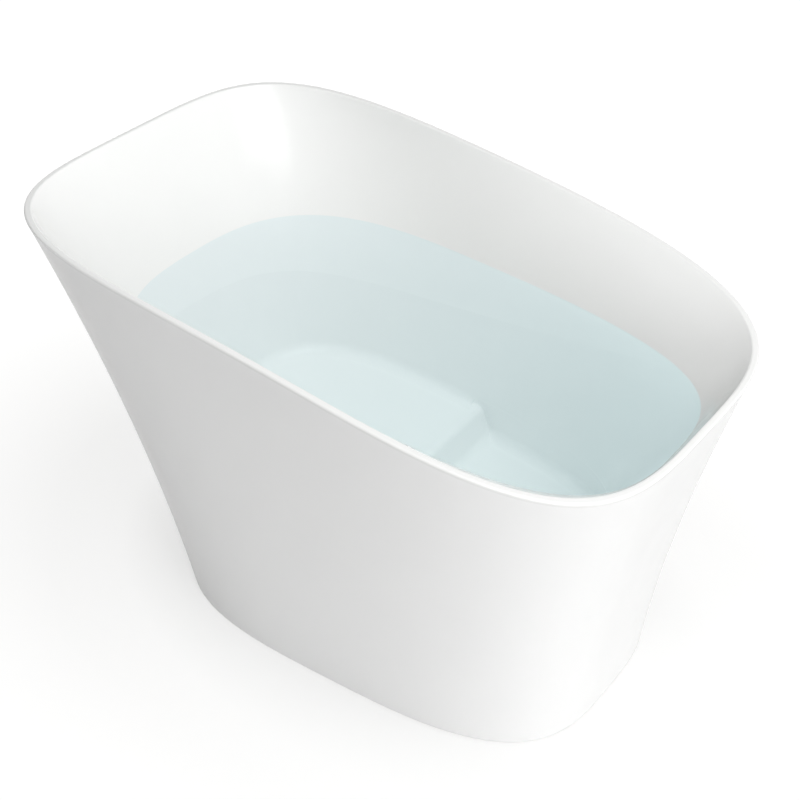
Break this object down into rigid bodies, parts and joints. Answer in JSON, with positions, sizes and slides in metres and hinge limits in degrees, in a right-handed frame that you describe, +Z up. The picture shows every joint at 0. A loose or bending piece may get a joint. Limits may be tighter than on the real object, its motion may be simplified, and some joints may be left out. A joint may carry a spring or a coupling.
{
  "type": "freestanding soaking bathtub",
  "caption": "Deep double-walled soaking bathtub with a sloping rim, moulded seat and footwell, on a levelling frame with waste, lift stopper and side overflow.",
  "frame": {"origin": "centre of the footprint box on the floor", "axes": "+X along the length towards the low foot end, +Y across, +Z up"},
  "size_m": [1.2978, 0.8386, 0.8469],
  "materials": {
    "acrylic": "white, glossy moulded acrylic",
    "adhesive": "cured white adhesive",
    "plywood": "plain birch plywood",
    "frame_steel": "grey primer on square tube",
    "chrome_trim": "bright chrome",
    "seal_rubber": "black sealing rubber",
    "waste_plastic": "white waste plastic",
    "brass_stem": "turned brass",
    "stud_steel": "zinc-plated steel",
    "foot_rubber": "black foot rubber"
  },
  "bodies": {
    "tub": {"inner_basin": "acrylic", "outer_skirt": "acrylic", "rim_bond_bead": "adhesive", "seat_board": "plywood", "floor_board": "plywood", "rail_back": "frame_steel", "rail_mid": "frame_steel", "rail_foot": "frame_steel", "rail_long_near": "frame_steel", "rail_long_far": "frame_steel", "drain_flange": "chrome_trim", "drain_gasket_top": "seal_rubber", "drain_gasket_under": "seal_rubber", "drain_lock_nut": "waste_plastic", "drain_body": "waste_plastic", "overflow_cover": "chrome_trim", "overflow_seal": "seal_rubber", "overflow_elbow": "waste_plastic", "overflow_pipe": "waste_plastic", "overflow_screw": "stud_steel", "seat_leg_back_near": "frame_steel", "seat_leg_back_far": "frame_steel", "seat_leg_foot_near": "frame_steel", "seat_leg_foot_far": "frame_steel", "skirt_block_back_near": "plywood", "skirt_block_back_far": "plywood", "skirt_block_mid_near": "plywood", "skirt_block_mid_far": "plywood", "skirt_block_foot_near": "plywood", "skirt_block_foot_far": "plywood", "foot_bush_back_near": "stud_steel", "foot_bush_back_far": "stud_steel", "foot_bush_foot_near": "stud_steel", "foot_bush_foot_far": "stud_steel"},
    "stopper": {"stopper_cap": "chrome_trim", "stopper_seal": "seal_rubber", "stopper_stem": "brass_stem"},
    "foot_back_near": {"foot_pad_back_near": "foot_rubber"},
    "stud_back_near": {"foot_stud_back_near": "stud_steel", "foot_nut_back_near": "stud_steel"},
    "foot_back_far": {"foot_pad_back_far": "foot_rubber"},
    "stud_back_far": {"foot_stud_back_far": "stud_steel", "foot_nut_back_far": "stud_steel"},
    "foot_foot_near": {"foot_pad_foot_near": "foot_rubber"},
    "stud_foot_near": {"foot_stud_foot_near": "stud_steel", "foot_nut_foot_near": "stud_steel"},
    "foot_foot_far": {"foot_pad_foot_far": "foot_rubber"},
    "stud_foot_far": {"foot_stud_foot_far": "stud_steel", "foot_nut_foot_far": "stud_steel"}
  },
  "joints": [
    {"name": "stopper_lift", "type": "slide", "parent": "tub", "child": "stopper", "axis": [0, 0, 1], "range_m": [0, 0.012]},
    {"name": "foot_lift_back_near", "type": "slide", "parent": "tub", "child": "foot_back_near", "axis": [0, 0, 1], "range_m": [-0.007, 0.0014]},
    {"name": "stud_turn_back_near", "type": "hinge", "parent": "foot_back_near", "child": "stud_back_near", "pos_m": [-0.28, -0.212, 0.03], "axis": [0, 0, 1], "range_deg": [-1485, 333]},
    {"name": "foot_lift_back_far", "type": "slide", "parent": "tub", "child": "foot_back_far", "axis": [0, 0, 1], "range_m": [-0.007, 0.0014]},
    {"name": "stud_turn_back_far", "type": "hinge", "parent": "foot_back_far", "child": "stud_back_far", "pos_m": [-0.28, 0.212, 0.03], "axis": [0, 0, 1], "range_deg": [-1485, 333]},
    {"name": "foot_lift_foot_near", "type": "slide", "parent": "tub", "child": "foot_foot_near", "axis": [0, 0, 1], "range_m": [-0.007, 0.0014]},
    {"name": "stud_turn_foot_near", "type": "hinge", "parent": "foot_foot_near", "child": "stud_foot_near", "pos_m": [0.4, -0.212, 0.03], "axis": [0, 0, 1], "range_deg": [-1485, 333]},
    {"name": "foot_lift_foot_far", "type": "slide", "parent": "tub", "child": "foot_foot_far", "axis": [0, 0, 1], "range_m": [-0.007, 0.0014]},
    {"name": "stud_turn_foot_far", "type": "hinge", "parent": "foot_foot_far", "child": "stud_foot_far", "pos_m": [0.4, 0.212, 0.03], "axis": [0, 0, 1], "range_deg": [-1485, 333]}
  ],
  "couplings": [
    {"joint": "stud_turn_back_near", "follows": "foot_lift_back_near", "rad_per_m": 3590.4},
    {"joint": "stud_turn_back_far", "follows": "foot_lift_back_far", "rad_per_m": 3590.4},
    {"joint": "stud_turn_foot_near", "follows": "foot_lift_foot_near", "rad_per_m": 3590.4},
    {"joint": "stud_turn_foot_far", "follows": "foot_lift_foot_far", "rad_per_m": 3590.4}
  ]
}
